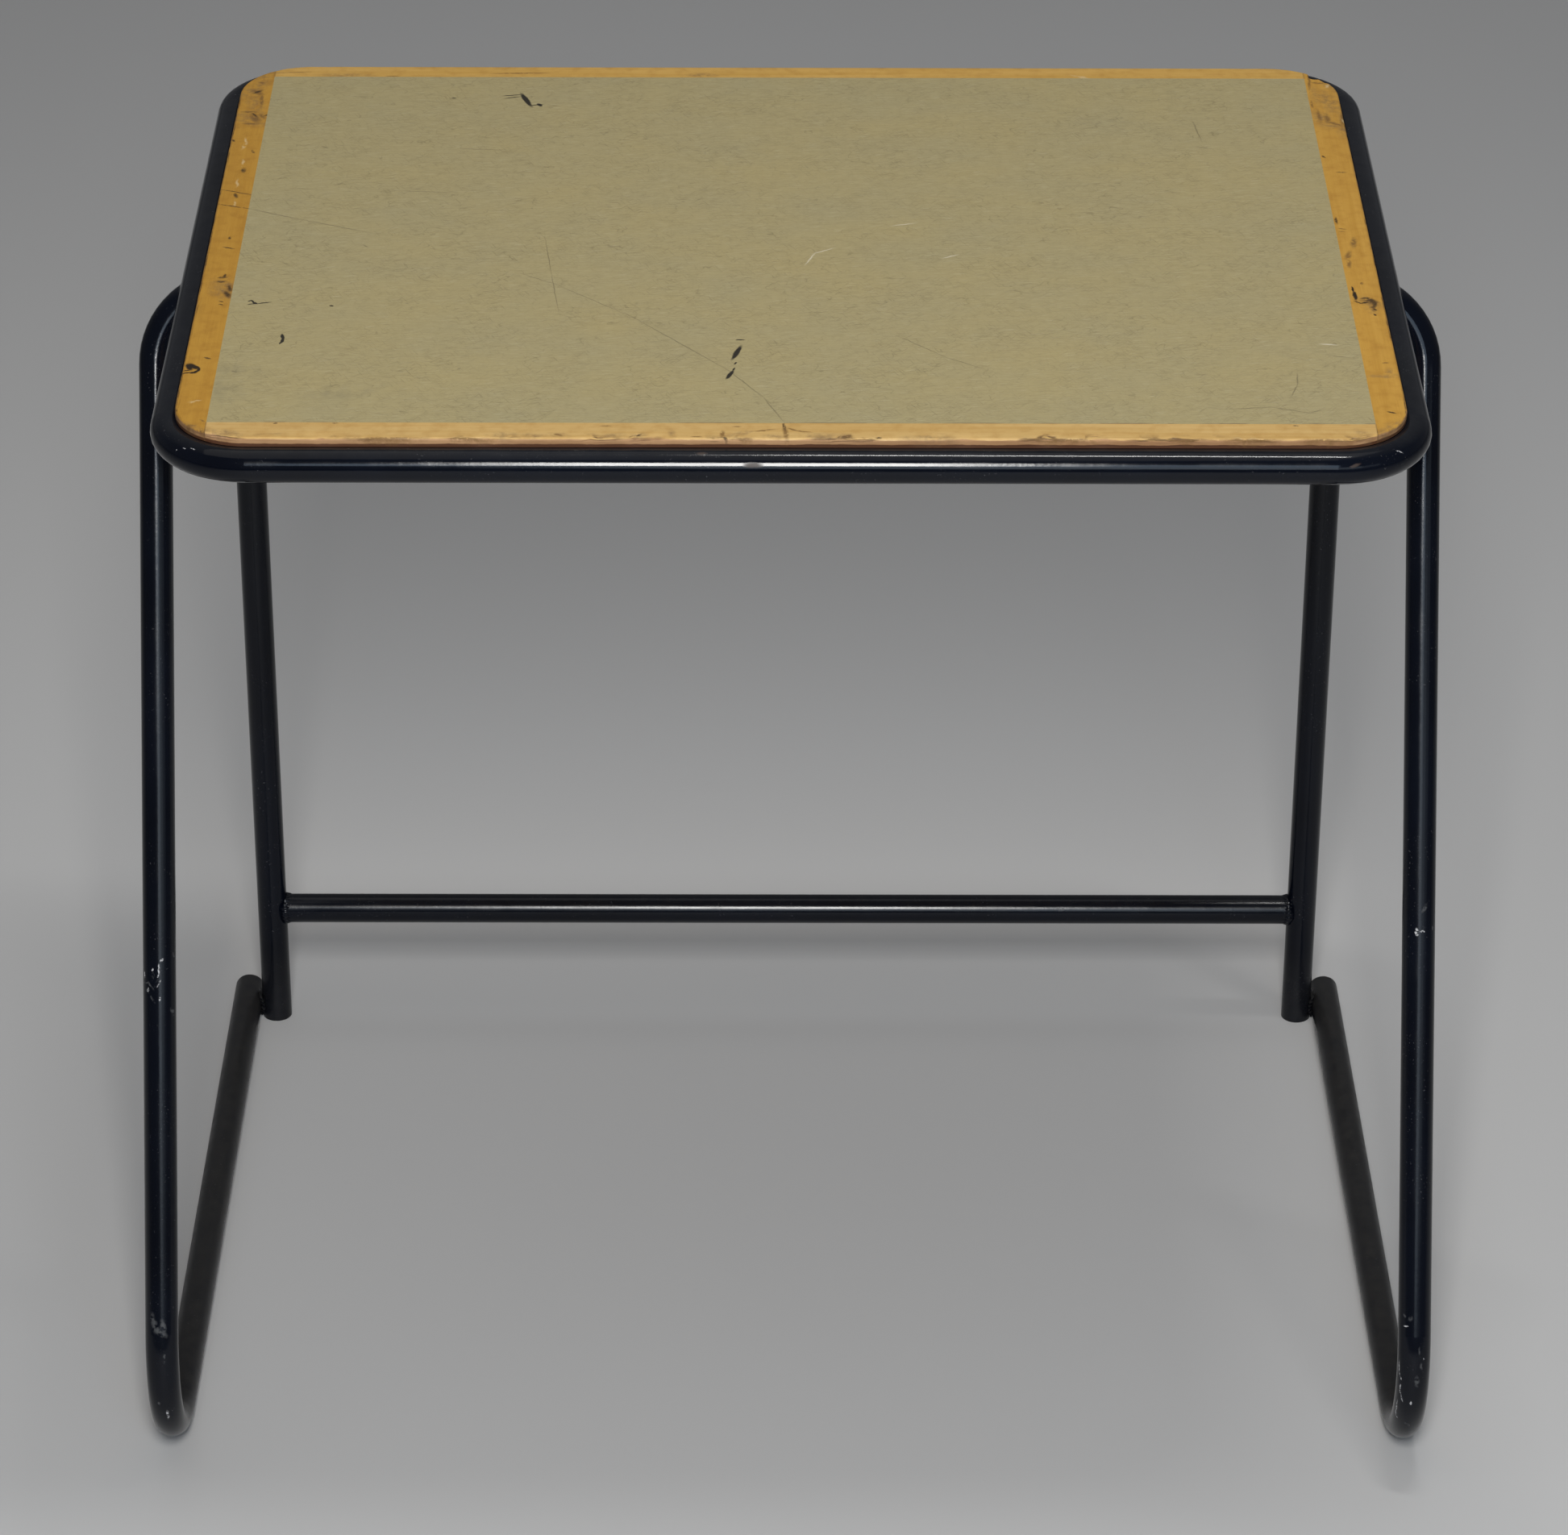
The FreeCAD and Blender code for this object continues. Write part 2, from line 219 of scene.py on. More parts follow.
# Marks on the laminate, in millimetres: each stroke has a width and runs through its points
ink_strokes = (
    (1.0, (-174, 229), (-163, 231)),
    (1.0, (-173, 225), (-164, 228)),
    (3.4, (-163, 231), (-157, 214)),
    (1.2, (-157, 214), (-150, 216)),
    (2.8, (-152, 216), (-151, 214)),
    (1.2, (-205, 225), (-203, 225)),
    (1.2, (-30, -117), (-26, -117)),
    (3.0, (-28, -126), (-32, -141)),
    (1.2, (-30, -146), (-31, -148)),
    (1.2, (-31, -153), (-32, -156)),
    (2.2, (-32, -157), (-35, -166)),
    (1.1, (-305, -67.5), (-303.5, -66), (-302, -69)),
    (1.9, (-302, -69), (-300.5, -70.5)),
    (1.1, (-305, -71.5), (-300, -70.5), (-293, -68.5)),
    (2.0, (-283, -111.5), (-282, -116.5), (-282.5, -121)),
    (1.2, (-282.5, -121), (-283.5, -123)),
    (1.6, (-258.5, -73), (-257.5, -73.5)),
)
dark_hairlines = (
    (0.5, (-154, -29), (-133, -44), (-88, -88)),
    (0.7, (-88, -88), (-35, -155), (-15, -190), (-5, -217)),
    (0.5, (-141, 17), (-136, -30), (-131, -74)),
    (1.1, (-278, 151), (-276, 149)),
    (1.0, (-245, 9), (-243, 7)),
    (1.1, (-307, -158), (-305, -159)),
    (0.8, (-315, 60), (-284, 45), (-246, 28)),
    (0.6, (-290, 90), (-279, 88)),
    (0.6, (-228, 86), (-198, 84)),
    (0.7, (243, 190), (246, 165)),
    (0.7, (243, 153), (251, 151)),
    (0.7, (278, -160), (277, -173), (273, -186)),
    (0.8, (240, -203), (261, -201), (281, -208), (288, -204)),
    (0.8, (299, -136), (308, -138)),
    (0.7, (-194, 148), (-174, 147)),
    (0.6, (60, -112), (86, -139), (104, -152)),
)
pale_nicks = (
    (0.9, (60, 38), (71, 41)),
    (0.9, (9, -15), (14, -1), (24, 6)),
    (1.0, (88, -7), (95, -3)),
    (1.4, (295, -121), (302, -122)),
)
laminate_smudges = (
    (14, (-312, -156), (-300, -158)),
    (16, (-311, -176), (-309, -190)),
    (14, (-256, -186), (-240, -184)),
)

# Strips of lipping: axis along each, share of full wear, tones from pale to deep, marks in millimetres
strips = {
    "lipping_left": {
        "axis": 1,
        "wear": 0.15,
        "tones": ((0.444, 0.237, 0.034), (0.392, 0.199, 0.026), (0.287, 0.132, 0.016)),
        "inks": (
            (3.6, (-331.5, -150.5), (-330, -155.5)),
            (3.8, (-330.5, -150), (-327, -154.5)),
            (2.0, (-327, -152.5), (-325.5, -155), (-325.5, -157.5), (-327, -160), (-329, -160.5)),
            (1.1, (-330, -157), (-333, -158)),
            (1.1, (-329, -160), (-335, -161.5)),
        ),
        "dents": (
            (2.4, (-325.5, 233), (-322.5, 236)),
            (1.4, (-316.5, 198), (-315.5, 199)),
            (1.2, (-324, 201), (-322, 197)),
            (1.4, (-320, 145), (-319, 142)),
            (2.6, (-323, 118), (-323, 114)),
            (2.2, (-325, 81), (-324, 77)),
            (0.9, (-334, 88), (-315, 80)),
            (0.9, (-334, 67), (-315, 60)),
            (1.6, (-323, 20), (-323, 18)),
            (1.2, (-325, 6), (-320, 4)),
            (1.4, (-333, 161), (-332, 159)),
            (2.4, (-323.5, -35.5), (-321, -35)),
            (1.6, (-321.5, -31.5), (-321.5, -35)),
            (1.6, (-324, -41), (-322, -41)),
            (2.0, (-318, -47), (-317, -52.5)),
            (2.4, (-319, -55.5), (-317, -60.5)),
            (1.3, (-321, -67.5), (-320, -68)),
            (1.3, (-321, -71.5), (-320, -72)),
            (1.6, (-323, -141), (-321, -142)),
        ),
        "stains": (
            (13, (-331, 197), (-318, 188)),
            (10, (-323.5, -46), (-320.5, -58)),
            (8, (-318.5, -44), (-317, -61)),
            (6, (-328, -224), (-322, -229)),
            (5, (-320, -231), (-313, -236)),
            (9, (-320, 250), (-330, 230)),
            (8, (-326, 225), (-322, 205)),
            (5, (-326, 255), (-317, 263)),
        ),
        "tans": (
            (4.0, (-326, 236), (-322, 231)),
            (2.6, (-329.5, 203.5), (-323, 203)),
            (5.0, (-323.5, 198), (-321, 190)),
            (3.0, (-319, 199), (-317.5, 194.5)),
            (2.2, (-328, 185.5), (-320.5, 185)),
            (2.0, (-321, 230), (-320, 212)),
            (2.0, (-323.5, 249), (-322, 248.5)),
            (3.6, (-324, -41), (-321.5, -41)),
            (4.2, (-318, -46), (-317, -53)),
            (3.8, (-319, -55.5), (-316.5, -61)),
            (2.4, (-327, -225.5), (-323, -226)),
            (2.2, (-320, -233), (-316, -234.5)),
            (1.4, (-318.5, -219.5), (-317, -221)),
        ),
        "chips": (
            (1.6, (-325.5, 164), (-324.5, 156)),
            (1.8, (-324.5, 156), (-325.5, 148)),
            (1.4, (-324, 130), (-324, 121)),
            (1.6, (-325, 101), (-325, 92)),
            (1.4, (-325, 72), (-325, 65)),
            (2.6, (-320.5, -42), (-318.5, -44.5)),
            (2.0, (-327, -197), (-325.5, -197)),
            (1.4, (-325, -196), (-321.5, -194.5)),
        ),
    },
    "lipping_right": {
        "axis": 1,
        "wear": 0.15,
        "tones": ((0.495, 0.273, 0.049), (0.436, 0.231, 0.036), (0.33, 0.155, 0.021)),
        "inks": (
            (1.4, (318, -45.5), (318.5, -52)),
            (2.2, (318.5, -52), (319, -62)),
            (1.2, (318, -64.5), (321.5, -67.5), (325, -66)),
            (1.0, (327.5, -74.5), (329.5, -76.5)),
            (1.2, (327.5, -82), (328, -83)),
        ),
        "dents": (
            (1.6, (324, -40), (324, -41)),
            (2.2, (323, -60.5), (326, -60)),
            (4.4, (326, -61.5), (328.5, -65)),
            (2.4, (328.5, -65), (329, -68.5), (328, -72)),
            (1.2, (324, 116), (328, 116)),
            (1.4, (317, 140), (318, 138)),
            (1.4, (317, 50), (317, 43)),
            (1.6, (324, -206), (327, -208)),
        ),
        "stains": (
            (9, (320, 202), (323, 188)),
            (7, (323, 187), (333, 184)),
            (6, (334, 206), (335, 196)),
            (9, (330, 254), (334, 242)),
            (6, (320, 240), (321, 222)),
            (10, (329, -222), (316, -237)),
            (8, (324, -64), (328, -69)),
            (5, (326, -74), (328, -78)),
            (4, (317, -162), (332, -161)),
            (3, (329, -153), (329, -158)),
            (10, (326, 232), (330, 208)),
            (6, (332, 186), (332, 174)),
        ),
        "tans": (
            (3.4, (325, 20), (324, 11)),
            (3.2, (320.5, 1), (319, -6)),
            (2.4, (319.5, -10), (319, -18)),
            (1.4, (318, 35), (321, 34)),
            (1.2, (318, 31), (320, 31)),
            (6.5, (325, -64), (328.5, -67)),
            (1.8, (327, -145), (328.5, -145)),
            (2.6, (327, -72), (328, -77)),
            (2.2, (319.5, 208), (320, 193)),
            (3.2, (324.5, 201), (324.5, 192)),
            (2.6, (325, 191), (332, 186)),
            (2.0, (334, 204), (332.5, 184)),
            (1.8, (319, 263), (317.5, 244)),
            (2.4, (320.5, 252), (326, 251)),
            (1.6, (317, 222), (317, 214)),
        ),
        "chips": (
            (2.6, (328.5, 244.5), (330, 249)),
            (1.6, (334.5, 196), (335, 190)),
        ),
    },
    "lipping_front": {
        "axis": 0,
        "wear": 1.0,
        "tones": ((0.55, 0.365, 0.140), (0.48, 0.296, 0.094), (0.38, 0.210, 0.054)),
        "inks": (
            (1.0, (-279, -223), (-277.5, -223)),
        ),
        "dents": (
            (1.0, (-247, -222.5), (-245, -222.5)),
            (1.2, (271.5, -223.5), (273, -223.5)),
            (1.4, (-36, -239), (-35, -240)),
            (1.7, (-4, -222.5), (-3.3, -229)),
            (1.4, (46, -239), (48, -239)),
            (1.3, (-82.5, -236.5), (-81, -235.5)),
        ),
        "stains": (
            (4, (-12, -237), (-6, -238)),
            (4, (-30, -236), (-24, -233)),
            (5, (306, -232), (312, -238)),
            (5, (64, -239), (84, -239)),
            (6, (-300, -236), (-316, -232)),
            (5, (-160, -236), (-151, -237)),
            (4, (-142, -237.5), (-134, -237)),
            (4, (-128, -236), (-123, -236.5)),
            (4, (-99, -237), (-93, -236)),
            (4, (-84, -236.5), (-80, -235.5)),
            (3, (-64, -232), (-63.5, -237)),
            (5, (9, -236), (22, -237)),
        ),
        "tans": (
            (2.4, (-37, -232.5), (-37, -238)),
            (1.0, (-31, -226), (-27.5, -226)),
            (1.4, (-19.5, -231.5), (-9.5, -229.5)),
            (1.4, (-1.5, -228), (3, -231), (10, -232.5)),
            (2.8, (-3.5, -227), (-2.5, -240)),
            (1.4, (-236, -240), (-200, -240)),
            (1.2, (-184, -240), (-158, -240)),
            (1.4, (-27, -240), (-21, -240)),
            (1.4, (232, -240), (262, -240)),
            (1.2, (276, -240), (300, -240)),
            (1.8, (-126.5, -235.5), (-124, -237)),
            (1.2, (-102, -225.5), (-98, -225.5)),
            (1.2, (-53, -238), (-49, -238)),
            (1.2, (132, -240), (164, -240)),
            (1.0, (203, -240), (226, -240)),
        ),
        "chips": (
            (0.9, (236, -238.5), (252, -239)),
        ),
    },
    "lipping_back": {
        "axis": 0,
        "wear": 0.15,
        "tones": ((0.54, 0.328, 0.088), (0.47, 0.275, 0.062), (0.36, 0.190, 0.038)),
        "inks": (
            (0.6, (-247, 259.5), (-240, 259.5)),
        ),
        "dents": (
            (0.5, (-316, 264), (-295, 266)),
        ),
        "stains": (
            (5, (-60, 262), (-48, 262)),
            (6, (-282, 260), (-262, 260)),
        ),
        "tans": (
            (1.6, (-180, 264), (-150, 265)),
        ),
        "chips": (
            (3.0, (176, 262), (182, 258)),
        ),
    },
}

# Paint damage on the tubes, and painted highlights on the ring's front bends, in millimetres: strokes
# through points on their surfaces
bright_scratches_and_glints = (
    (1.5, (-362.5, -190, 299), (-360.5, -188.5, 300)),
    (0.9, (-363, -190.5, 297), (-363, -192.5, 292.5), (-363.5, -193, 291)),
    (1.2, (-366.5, -191, 294.5), (-366.5, -191, 293.5)),
    (1.3, (-372, -188, 291.5), (-371.5, -189.5, 288.5)),
    (0.9, (-362, -194, 288.5), (-364, -195.5, 285.5)),
    (1.4, (-369.5, -194.5, 283.5), (-369.5, -194.5, 282.5)),
    (1.1, (-362.5, -198.5, 280), (-362.5, -199, 279)),
    (2.2, (361.5, -181, 316), (361.5, -182, 314.5)),
    (1.4, (364, -181.5, 315.5), (365.5, -181.5, 315.5)),
    (1.4, (-361.5, -286, 51), (-361.5, -283.5, 44.5)),
    (1.2, (357, -277.5, 106.5), (358.5, -278.5, 107)),
    (1.0, (368, -286, 90), (368, -286, 89)),
    (1.5, (362, -288, 61), (362, -288, 59)),
    (1.0, (355, -282.5, 57), (355, -279, 45), (356, -280, 43.5)),
    (1.0, (354.5, -282, 85), (355, -283, 78.5), (356, -285.5, 75)),
    (1.0, (356, -285.5, 71), (355.5, -285, 67.5), (357.5, -286, 60)),
    # These four, on the ring's front bends, are painted highlights: glints of the lamps drawn as bright
    # bare metal
    (0.7, (-330.5, -238, 652), (-330.5, -238, 651)),
    (0.5, (-327, -239, 653), (-325.5, -240, 653)),
    (0.6, (-322.5, -241, 654), (-319.5, -242.5, 654)),
    (0.6, (325, -240.5, 653.5), (329, -239, 651.5)),
)
grey_scratches = (
    (1.2, (-366.5, -192, 293), (-366, -193, 290.5)),
    (1.0, (-372, -190.5, 285), (-369, -193, 287), (-367.5, -195, 285), (-366, -196, 284)),
    (1.0, (-363.5, -193.5, 289), (-365, -195, 286)),
    (1.1, (-368.5, -196, 281.5), (-365.5, -199.5, 277.5)),
    (2.6, (-355.5, -198, 271.5), (-355.5, -198, 269.5)),
    (2.4, (-354.5, -182.5, 300), (-354.5, -182.5, 299)),
    (1.9, (366.5, -174.5, 329), (365, -176.5, 326.5)),
    (1.4, (365, -180.5, 318), (365, -180.5, 317)),
    (1.2, (371, -177, 317), (371, -178, 314.5)),
    (3.4, (-368, -277, 111), (-366.5, -280, 105.5), (-361.5, -282, 102.5)),
    (3.0, (-362, -279.5, 109), (-361.5, -281, 105)),
    (1.2, (-361.5, -286, 92), (-361.5, -287.5, 86.5)),
    (1.6, (-365, -288, 85.5), (-364, -288, 84)),
    (1.5, (-366, -287.5, 58), (-366, -287.5, 57)),
    (1.8, (360.5, -277, 112), (360, -277, 111)),
    (1.4, (356.5, -274.5, 112.5), (357, -275, 112)),
    (1.0, (365.5, -284.5, 96.5), (365.5, -285.5, 93)),
    (1.6, (367, -287.5, 86), (367, -287.5, 84)),
    (2.8, (364.5, -289, 77), (365, -289, 74)),
    (1.6, (361, -282, 41), (363, -281.5, 38.5)),
    (2.4, (178.5, 223, 87), (180.5, 223, 87)),
)
brown_chips = (
    (2.2, (-49.5, -248.5, 655), (-46.5, -248.5, 655)),
    (2.6, (-24, -253.5, 650.5), (-17, -253.5, 650.5)),
    (1.6, (300, -253.5, 650), (304, -252, 651)),
)


def make_camera():
    data = bpy.data.cameras.new("camera")
    data.sensor_width = sensor_width
    data.lens = focal_pixels * sensor_width / image_width
    camera = bpy.data.objects.new("camera", data)
    turn = Euler((0, 0, camera_yaw)).to_matrix()
    tilt = Euler((math.pi / 2 - camera_pitch, 0, 0)).to_matrix()
    roll = Euler((0, 0, camera_roll)).to_matrix()
    camera.matrix_world = Matrix.Translation(camera_place) @ (turn @ tilt @ roll).to_4x4()
    bpy.context.scene.collection.objects.link(camera)
    bpy.context.scene.camera = camera


def aimed_light(name, place, target, size, power, colour):
    data = bpy.data.lights.new(name, "AREA")
    data.shape = "RECTANGLE"
    data.size, data.size_y = size
    data.energy = power
    data.color = colour
    light = bpy.data.objects.new(name, data)
    light.location = place
    light.rotation_mode = "QUATERNION"
    light.rotation_quaternion = (Vector(target) - Vector(place)).to_track_quat("-Z", "Y")
    bpy.context.scene.collection.objects.link(light)


def make_studio():
    scene = bpy.context.scene
    scene.view_settings.view_transform = "Standard"
    world = bpy.data.worlds.new("studio")
    scene.world = world
    world.use_nodes = True
    background = world.node_tree.nodes["Background"]
    background.inputs["Color"].default_value = surround_colour
    background.inputs["Strength"].default_value = surround_strength
    for name, panel in light_panels.items():
        aimed_light(name, *panel)


def make_floor():
    bpy.ops.mesh.primitive_plane_add(size=floor_width)
    floor = bpy.context.object
    floor.name = "floor"
    material = bpy.data.materials.new("pale_floor")
    material.use_nodes = True
    shader = material.node_tree.nodes["Principled BSDF"]
    shader.inputs["Base Color"].default_value = floor_grey
    shader.inputs["Roughness"].default_value = floor_roughness
    floor.data.materials.append(material)


class Finish:
    """A procedural material in the making. Its coordinates are the desk's own, in metres."""

    def __init__(self, name):
        self.material = bpy.data.materials.new(name)
        self.material.use_nodes = True
        self.shader = self.material.node_tree.nodes["Principled BSDF"]
        self.place = self.add("TexCoord").outputs["Object"]
        split = self.add("SeparateXYZ", Vector=self.place)
        self.x, self.y, self.z = split.outputs

    def add(self, kind, setting=None, **inputs):
        """A new node, with settings of its own and values or links for its inputs."""
        node = self.material.node_tree.nodes.new("ShaderNode" + kind)
        for name, value in (setting or {}).items():
            setattr(node, name, value)
        for name, value in inputs.items():
            self.feed(node.inputs[name.replace("_", " ")], value)
        return node

    def feed(self, socket, value):
        """Links a socket to another one, or sets it to a constant."""
        if isinstance(value, bpy.types.NodeSocket):
            self.material.node_tree.links.new(value, socket)
        elif socket.type == "RGBA" and len(value) == 3:
            socket.default_value = (*value, 1)
        else:
            socket.default_value = value

    def noise(self, stretch, seed, detail=3.0, roughness=0.55):
        """Noise whose stretch is its number of features to the metre along X, Y and Z."""
        shift = self.add("Mapping", Vector=self.place, Scale=stretch,
                         Location=tuple(share * seed for share in seed_shift))
        return self.add("TexNoise", Vector=shift.outputs["Vector"], Scale=1.0, Detail=detail,
                        Roughness=roughness).outputs["Fac"]

    def spread(self, value, low, high, to_low=0.0, to_high=1.0):
        """Value stretched from one range onto another, and held at its ends."""
        node = self.add("MapRange", Value=value)
        limits = {"From Min": low, "From Max": high, "To Min": to_low, "To Max": to_high}
        for name, number in limits.items():
            node.inputs[name].default_value = number
        return node.outputs["Result"]

    def calc(self, operation, first, second=0.0):
        node = self.add("Math", {"operation": operation})
        self.feed(node.inputs[0], first)
        self.feed(node.inputs[1], second)
        return node.outputs["Value"]

    def blend(self, share, first, second):
        """Two colours mixed: the first where the share is nought, the second where it is one."""
        node = self.add("Mix", {"data_type": "RGBA"})
        self.feed(node.inputs["Factor"], share)
        self.feed(next(s for s in node.inputs if s.name == "A" and s.type == "RGBA"), first)
        self.feed(next(s for s in node.inputs if s.name == "B" and s.type == "RGBA"), second)
        return next(s for s in node.outputs if s.name == "Result" and s.type == "RGBA")

    def tinted(self, colour, mask, strength, tint):
        """A colour with a tint laid over it where a mask is one, at the strength given."""
        return self.blend(self.calc("MULTIPLY", mask, strength), colour, tint)

    def roughened(self, stretch, seed, reach):
        """The coordinates moved about by noise, for marks with uneven edges."""
        shift = self.add("Mapping", Vector=self.place, Location=(seed, 2 * seed, 3 * seed))
        wander = self.add("TexNoise", Vector=shift.outputs["Vector"], Scale=stretch, Detail=3.0)
        centred = self.add("VectorMath", {"operation": "SUBTRACT"})
        self.feed(centred.inputs[0], wander.outputs["Color"])
        centred.inputs[1].default_value = (0.5, 0.5, 0.5)
        scaled = self.add("VectorMath", {"operation": "SCALE"})
        self.feed(scaled.inputs[0], centred.outputs["Vector"])
        scaled.inputs["Scale"].default_value = reach
        moved = self.add("VectorMath", {"operation": "ADD"})
        self.feed(moved.inputs[0], self.place)
        self.feed(moved.inputs[1], scaled.outputs["Vector"])
        return moved.outputs["Vector"]

    def nearness(self, place, centre, turn, half_sizes):
        """Distance from a centre, counted in the half sizes of a turned ellipsoid."""
        local = self.add("Mapping", {"vector_type": "TEXTURE"}, Vector=place, Location=centre,
                         Rotation=turn, Scale=half_sizes)
        length = self.add("VectorMath", {"operation": "LENGTH"})
        self.feed(length.inputs[0], local.outputs["Vector"])
        return length.outputs["Value"]

    def strokes(self, place, rows, softness):
        """One on strokes in millimetres, with a soft rim. A point of two numbers lies on the top."""
        total = None
        for width, *points in rows:
            on_top = len(points[0]) == 2
            spots = [Vector((*point, top_height / mm) if on_top else point) for point in points]
            for start, end in zip(spots, spots[1:]):
                along = end - start
                half_width = width / 2 * mm
                half_depth = stroke_depth if on_top else half_width
                distance = self.nearness(
                    place, (start + end) / 2 * mm, along.to_track_quat("X", "Z").to_euler(),
                    (along.length / 2 * mm + half_width, half_width, half_depth))
                total = self.calc("MINIMUM", total, distance) if total else distance
        return self.spread(total, 1 + softness, 1 - softness)

    def fibres(self, place, angle, seed):
        """Fine straight lines at one angle: noise drawn out along them."""
        local = self.add("Mapping", {"vector_type": "TEXTURE"}, Vector=place, Location=(seed, 2 * seed, 0),
                         Rotation=(0, 0, angle), Scale=(fibre_length, fibre_width, fibre_length))
        field = self.add("TexNoise", Vector=local.outputs["Vector"], Scale=1.0, Detail=1.0)
        return self.spread(field.outputs["Fac"], fibre_starts, fibre_full)

    def contours(self, field, width):
        """Thin winding lines where a noise field passes its middle value."""
        off_middle = self.calc("ABSOLUTE", self.calc("SUBTRACT", field, 0.5))
        return self.spread(off_middle, width, contour_core * width)

    def bump(self, height, depth):
        node = self.add("Bump", Height=height)
        node.inputs["Distance"].default_value = depth
        return node.outputs["Normal"]

    def done(self, colour, roughness, normal, metallic=None):
        self.feed(self.shader.inputs["Base Color"], colour)
        self.feed(self.shader.inputs["Roughness"], roughness)
        self.feed(self.shader.inputs["Normal"], normal)
        if metallic is not None:
            self.feed(self.shader.inputs["Metallic"], metallic)
        return self.material


def laminate_finish():
    """Matt olive sheet with fine fibre lines, rubbed all over and marked with ink and scratches."""
    f = Finish("laminate")
    streak = f.noise((70, 900, 900), 1.0, detail=4.0)
    cross_streak = f.noise((900, 60, 900), 2.0, detail=3.0)
    cloud = f.noise((16, 20, 16), 3.0)
    colour = f.blend(f.spread(cloud, 0.3, 0.7), olive, warm_olive)
    colour = f.blend(f.spread(streak, 0.35, 0.7, 0.0, 0.24), colour, streak_brown)
    colour = f.blend(f.spread(cross_streak, 0.52, 0.75, 0.0, 0.18), colour, cross_streak_brown)

    bent_place = f.roughened(14, 4.0, 9.0 * mm)
    fibres = f.fibres(bent_place, fibre_angles[0], 5.0)
    for number, angle in enumerate(fibre_angles[1:]):
        fibres = f.calc("MAXIMUM", fibres, f.fibres(bent_place, angle, 6.0 + number))
    fibres = f.calc("MULTIPLY", fibres, f.spread(f.noise((30, 34, 30), 4.5), 0.38, 0.60, 0.5, 1.0))
    colour = f.tinted(colour, fibres, 0.42, fibre_brown)
    curls = f.contours(f.noise((42, 60, 42), 5.0, detail=2.0), 0.0075)
    curls = f.calc("MULTIPLY", curls, f.spread(f.noise((46, 60, 46), 8.0), 0.44, 0.60, 0.25, 1.0))
    colour = f.tinted(colour, curls, 0.34, curl_brown)
    pale_fibres = f.fibres(bent_place, pale_fibre_angle, 12.0)
    colour = f.tinted(colour, pale_fibres, 0.22, fibre_cream)

    rough_place = f.roughened(90, 1.0, 3.0 * mm)
    hand_place = f.roughened(240, 2.0, 1.3 * mm)
    smudges = f.calc("MULTIPLY", f.strokes(rough_place, laminate_smudges, 0.8),
                     f.spread(f.noise((150, 90, 150), 9.0, detail=4.0), 0.36, 0.64))
    colour = f.tinted(colour, smudges, 0.42, smudge_grey)
    hairs = f.strokes(hand_place, dark_hairlines, 0.6)
    colour = f.tinted(colour, hairs, 0.55, hairline_brown)
    nicks = f.strokes(hand_place, pale_nicks, 0.5)
    colour = f.tinted(colour, nicks, 0.75, nick_cream)
    ink = f.strokes(hand_place, ink_strokes, 0.22)
    colour = f.tinted(colour, ink, 0.97, laminate_ink)

    from_front = f.calc("SUBTRACT", f.y, sheet_low[1])
    dirt = f.spread(from_front, front_dirt_full, front_dirt_end, 0.6, 0.0)
    dirt = f.calc("MULTIPLY", dirt, f.spread(f.noise((38, 38, 38), 10.0), 0.48, 0.58))
    colour = f.blend(dirt, colour, front_dirt_brown)

    rough = f.spread(streak, 0.3, 0.7, 0.40, 0.52)
    height = f.calc("SUBTRACT", f.calc("MULTIPLY", streak, 0.4), f.calc("MAXIMUM", fibres, hairs))
    f.shader.inputs["Specular IOR Level"].default_value = 0.35
    return f.done(colour, rough, f.bump(height, 0.04 * mm))


